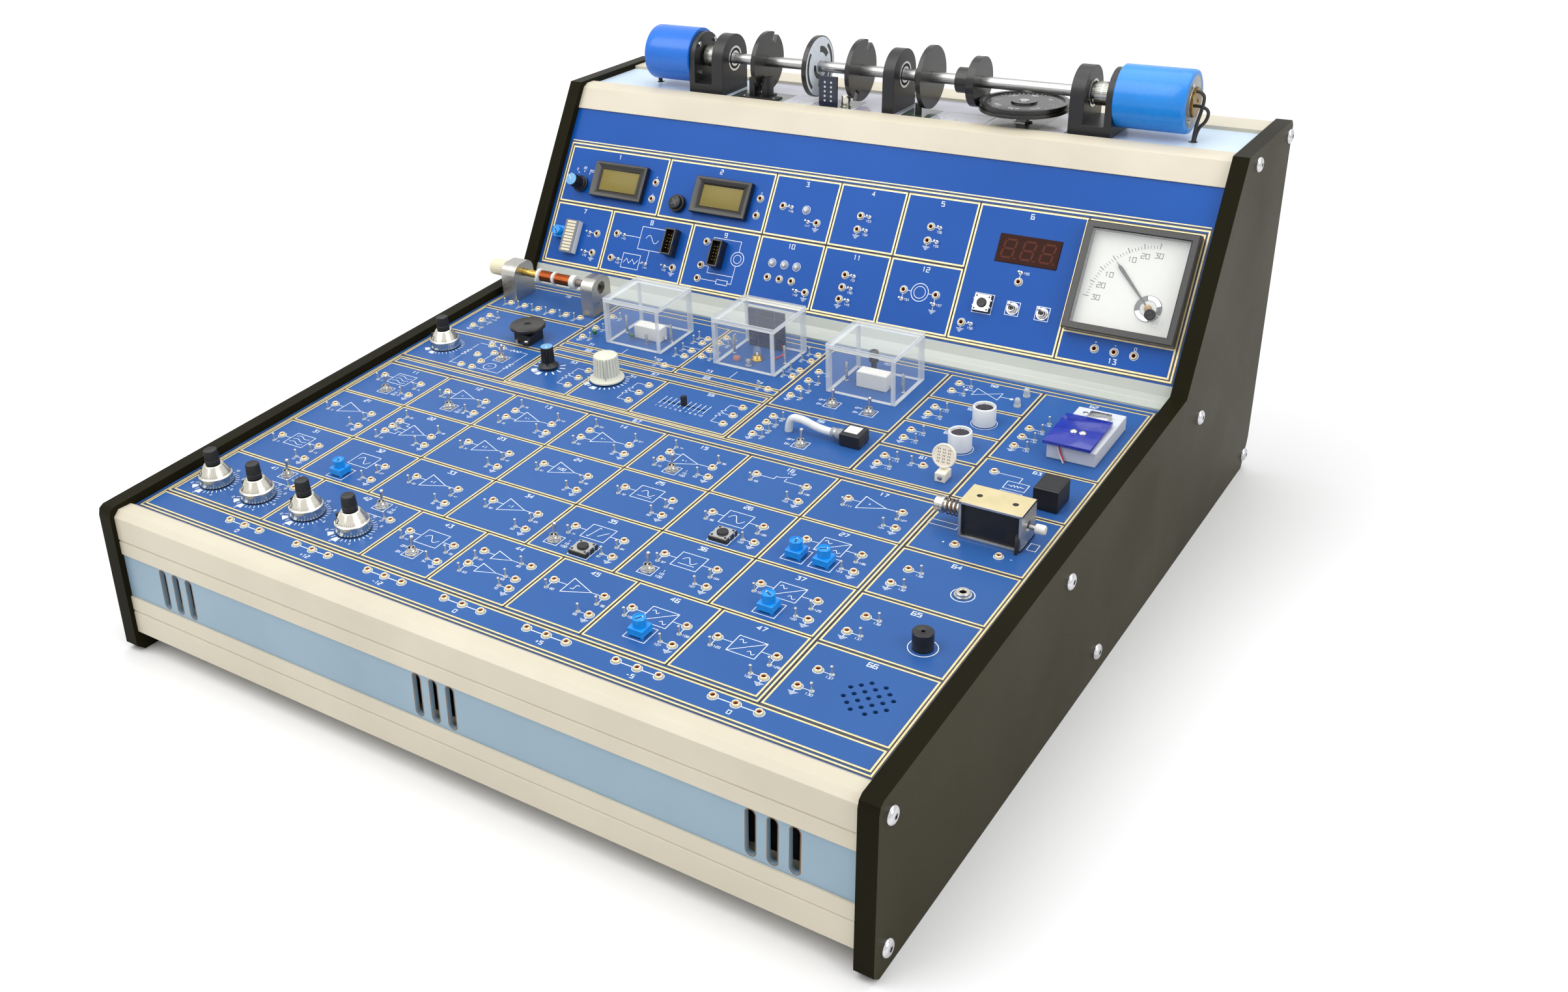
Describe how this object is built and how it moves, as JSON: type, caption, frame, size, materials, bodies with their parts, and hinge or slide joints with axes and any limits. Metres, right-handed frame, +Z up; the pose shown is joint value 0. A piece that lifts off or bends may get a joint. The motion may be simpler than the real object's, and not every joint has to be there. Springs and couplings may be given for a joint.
{
  "type": "sensor trainer",
  "caption": "Teaching console with a sloping panel of sensors and circuits, an instrument panel and a motor shaft line with discs on top.",
  "frame": {"origin": "centre of the bounding box at the surface it stands on", "axes": "+X to the operator's right, +Y from front to back, +Z up"},
  "size_m": [0.5332, 0.608, 0.3035],
  "materials": {
    "black_side": "semi-matt black with a slight olive cast",
    "rail": "satin, warm off-white coating",
    "strip": "light blue satin paint",
    "board": "blue printed board with gold and white lines",
    "deck": "light blue satin paint",
    "steel_sheet": "plain zinc-plated sheet",
    "brass_plate": "bright gold plate",
    "screw": "polished",
    "black_plastic": "fine moulded",
    "grey_plastic": "moulded",
    "blue_metal": "gloss blue",
    "black_metal": "satin black",
    "alloy": "machined",
    "clear": "clear acrylic",
    "nickel": "nickel plate",
    "ceramic_white": "white ceramic and plastic"
  },
  "bodies": {
    "console": {"side_panel_left": "black_side", "side_panel_right": "black_side", "front_rails": "rail", "middle_rail": "rail", "top_rails": "rail", "vent_strip": "strip", "lower_panel": "board", "upper_panel": "board", "top_deck": "deck", "chassis_tray": "steel_sheet", "power_supply": "steel_sheet", "panel_screws": "screw", "sockets_and_pins": "brass_plate", "control_bodies": "black_plastic", "panel_instruments": "black_plastic", "shaft_supports": "black_metal", "shaft_machines": "blue_metal", "deck_sensors": "black_plastic", "lvdt_frame": "alloy", "solenoid_body": "nickel", "solenoid_spring": "nickel", "box_sensors": "ceramic_white", "board_sensors": "ceramic_white"},
    "shaft_line": {"drive_shaft": "alloy", "shaft_discs": "black_plastic"},
    "servo_disc": {"servo_disc": "black_plastic"},
    "offset_dial_1": {"offset_dial_1": "black_plastic"},
    "gain_dial_1": {"gain_dial_1": "black_plastic"},
    "offset_dial_2": {"offset_dial_2": "black_plastic"},
    "gain_dial_2": {"gain_dial_2": "black_plastic"},
    "bridge_dial": {"bridge_dial": "black_plastic"},
    "carbon_track_knob": {"carbon_track_knob": "black_plastic"},
    "wound_track_knob": {"wound_track_knob": "grey_plastic"},
    "range_knob": {"range_knob": "black_plastic"},
    "capacitor_disc": {"capacitor_disc": "black_plastic"},
    "slide_lever": {"slide_lever": "black_plastic"},
    "temperature_cover": {"temperature_cover": "clear"},
    "light_cover": {"light_cover": "clear"},
    "airflow_cover": {"airflow_cover": "clear"},
    "bridge_toggle": {"bridge_toggle": "nickel"},
    "filter_toggle": {"filter_toggle": "nickel"},
    "ac_amplifier_toggle": {"ac_amplifier_toggle": "nickel"},
    "amplifier_1_toggle": {"amplifier_1_toggle": "nickel"},
    "amplifier_2_toggle": {"amplifier_2_toggle": "nickel"},
    "alarm_toggle": {"alarm_toggle": "nickel"},
    "integrator_toggle": {"integrator_toggle": "nickel"},
    "differentiator_toggle": {"differentiator_toggle": "nickel"},
    "comparator_toggle": {"comparator_toggle": "nickel"},
    "pressure_pump_toggle": {"pressure_pump_toggle": "nickel"},
    "flow_pump_toggle": {"flow_pump_toggle": "nickel"},
    "flow_heater_toggle": {"flow_heater_toggle": "nickel"},
    "counter_toggle": {"counter_toggle": "nickel"},
    "free_run_toggle": {"free_run_toggle": "nickel"},
    "integrator_button": {"integrator_button": "black_plastic"},
    "sample_button": {"sample_button": "black_plastic"},
    "counter_button": {"counter_button": "black_plastic"},
    "lvdt_core": {"lvdt_core": "alloy"},
    "solenoid_plunger": {"solenoid_plunger": "nickel"},
    "meter_needle": {"meter_needle": "black_metal"},
    "fuse_cap": {"fuse_cap": "black_plastic"}
  },
  "joints": [
    {"name": "shaft_spin", "type": "hinge", "parent": "console", "child": "shaft_line", "pos_m": [0, 0.236, 0.281], "axis": [1, 0, 0], "continuous": true},
    {"name": "servo_spin", "type": "hinge", "parent": "console", "child": "servo_disc", "pos_m": [0.1015, 0.236, 0.268], "axis": [0, 0, 1], "continuous": true},
    {"name": "offset_dial_1_turn", "type": "hinge", "parent": "console", "child": "offset_dial_1", "pos_m": [-0.2279, -0.24016, 0.10099], "axis": [0, -0.0523, 0.9986], "range_deg": [0, 3600]},
    {"name": "gain_dial_1_turn", "type": "hinge", "parent": "console", "child": "gain_dial_1", "pos_m": [-0.1897, -0.24016, 0.10099], "axis": [0, -0.0523, 0.9986], "range_deg": [0, 3600]},
    {"name": "offset_dial_2_turn", "type": "hinge", "parent": "console", "child": "offset_dial_2", "pos_m": [-0.1468, -0.24016, 0.10099], "axis": [0, -0.0523, 0.9986], "range_deg": [0, 3600]},
    {"name": "gain_dial_2_turn", "type": "hinge", "parent": "console", "child": "gain_dial_2", "pos_m": [-0.1084, -0.24016, 0.10099], "axis": [0, -0.0523, 0.9986], "range_deg": [0, 3600]},
    {"name": "bridge_dial_turn", "type": "hinge", "parent": "console", "child": "bridge_dial", "pos_m": [-0.2296, -0.01726, 0.11267], "axis": [0, -0.0523, 0.9986], "range_deg": [0, 3600]},
    {"name": "carbon_turn", "type": "hinge", "parent": "console", "child": "carbon_track_knob", "pos_m": [-0.137, -0.01317, 0.11289], "axis": [0, -0.0523, 0.9986], "range_deg": [0, 300]},
    {"name": "wound_turn", "type": "hinge", "parent": "console", "child": "wound_track_knob", "pos_m": [-0.0881, -0.01047, 0.11303], "axis": [0, -0.0523, 0.9986], "range_deg": [0, 300]},
    {"name": "range_turn", "type": "hinge", "parent": "console", "child": "range_knob", "pos_m": [-0.2319, 0.16104, 0.18736], "axis": [0, -0.8599, 0.5105], "range_deg": [-90, 0]},
    {"name": "capacitor_turn", "type": "hinge", "parent": "console", "child": "capacitor_disc", "pos_m": [-0.179, 0.01809, 0.11453], "axis": [0, -0.0523, 0.9986], "range_deg": [0, 180]},
    {"name": "slide_lever_slide", "type": "slide", "parent": "console", "child": "slide_lever", "axis": [1, 0, 0], "range_m": [-0.015, 0.015]},
    {"name": "temperature_cover_lift", "type": "slide", "parent": "console", "child": "temperature_cover", "axis": [0, -0.0523, 0.9986], "range_m": [0, 0.06]},
    {"name": "light_cover_lift", "type": "slide", "parent": "console", "child": "light_cover", "axis": [0, -0.0523, 0.9986], "range_m": [0, 0.06]},
    {"name": "airflow_cover_lift", "type": "slide", "parent": "console", "child": "airflow_cover", "axis": [0, -0.0523, 0.9986], "range_m": [0, 0.06]},
    {"name": "bridge_toggle_flip", "type": "hinge", "parent": "console", "child": "bridge_toggle", "pos_m": [-0.177, -0.01697, 0.11469], "axis": [1, 0, 0], "range_deg": [0, 24]},
    {"name": "filter_toggle_flip", "type": "hinge", "parent": "console", "child": "filter_toggle", "pos_m": [-0.2194, -0.09286, 0.11071], "axis": [1, 0, 0], "range_deg": [0, 24]},
    {"name": "ac_amplifier_toggle_flip", "type": "hinge", "parent": "console", "child": "ac_amplifier_toggle", "pos_m": [-0.1611, -0.09286, 0.11071], "axis": [1, 0, 0], "range_deg": [0, 24]},
    {"name": "amplifier_1_toggle_flip", "type": "hinge", "parent": "console", "child": "amplifier_1_toggle", "pos_m": [-0.1929, -0.2127, 0.10444], "axis": [1, 0, 0], "range_deg": [0, 24]},
    {"name": "amplifier_2_toggle_flip", "type": "hinge", "parent": "console", "child": "amplifier_2_toggle", "pos_m": [-0.1114, -0.2127, 0.10444], "axis": [1, 0, 0], "range_deg": [0, 24]},
    {"name": "alarm_toggle_flip", "type": "hinge", "parent": "console", "child": "alarm_toggle", "pos_m": [-0.0595, -0.24326, 0.10283], "axis": [1, 0, 0], "range_deg": [0, 24]},
    {"name": "integrator_toggle_flip", "type": "hinge", "parent": "console", "child": "integrator_toggle", "pos_m": [0.0046, -0.19303, 0.10547], "axis": [1, 0, 0], "range_deg": [0, 24]},
    {"name": "differentiator_toggle_flip", "type": "hinge", "parent": "console", "child": "differentiator_toggle", "pos_m": [0.0692, -0.19303, 0.10547], "axis": [1, 0, 0], "range_deg": [0, 24]},
    {"name": "comparator_toggle_flip", "type": "hinge", "parent": "console", "child": "comparator_toggle", "pos_m": [0.0205, -0.09486, 0.11061], "axis": [1, 0, 0], "range_deg": [0, 24]},
    {"name": "pressure_pump_toggle_flip", "type": "hinge", "parent": "console", "child": "pressure_pump_toggle", "pos_m": [0.0744, -0.03145, 0.11393], "axis": [1, 0, 0], "range_deg": [0, 24]},
    {"name": "flow_pump_toggle_flip", "type": "hinge", "parent": "console", "child": "flow_pump_toggle", "pos_m": [0.0664, 0.02497, 0.11689], "axis": [1, 0, 0], "range_deg": [0, 24]},
    {"name": "flow_heater_toggle_flip", "type": "hinge", "parent": "console", "child": "flow_heater_toggle", "pos_m": [0.0926, 0.02497, 0.11689], "axis": [1, 0, 0], "range_deg": [0, 24]},
    {"name": "counter_toggle_flip", "type": "hinge", "parent": "console", "child": "counter_toggle", "pos_m": [0.1388, 0.14018, 0.15614], "axis": [1, 0, 0], "range_deg": [0, 24]},
    {"name": "free_run_toggle_flip", "type": "hinge", "parent": "console", "child": "free_run_toggle", "pos_m": [0.1594, 0.14018, 0.15614], "axis": [1, 0, 0], "range_deg": [0, 24]},
    {"name": "integrator_button_press", "type": "slide", "parent": "console", "child": "integrator_button", "axis": [0, 0.0523, -0.9986], "range_m": [0, 0.0004], "stiffness_N_per_m": 200},
    {"name": "sample_button_press", "type": "slide", "parent": "console", "child": "sample_button", "axis": [0, 0.0523, -0.9986], "range_m": [0, 0.0004], "stiffness_N_per_m": 200},
    {"name": "counter_button_press", "type": "slide", "parent": "console", "child": "counter_button", "axis": [0, 0.8599, -0.5105], "range_m": [0, 0.0004], "stiffness_N_per_m": 200},
    {"name": "lvdt_core_slide", "type": "slide", "parent": "console", "child": "lvdt_core", "axis": [1, 0, 0], "range_m": [-0.008, 0]},
    {"name": "plunger_slide", "type": "slide", "parent": "console", "child": "solenoid_plunger", "axis": [1, 0, 0], "range_m": [0, 0.006], "stiffness_N_per_m": 60, "deforming": ["solenoid_spring"]},
    {"name": "needle_swing", "type": "hinge", "parent": "console", "child": "meter_needle", "pos_m": [0.2259, 0.14946, 0.16785], "axis": [0, -0.8599, 0.5105], "range_deg": [-42, 42], "stiffness_Nm_per_rad": 0.0005},
    {"name": "fuse_cap_slide", "type": "slide", "parent": "console", "child": "fuse_cap", "axis": [0, -0.8599, 0.5105], "range_m": [0, 0.028]}
  ],
  "couplings": [
    {"joint": "servo_spin", "follows": "shaft_spin", "ratio": -0.4248}
  ]
}
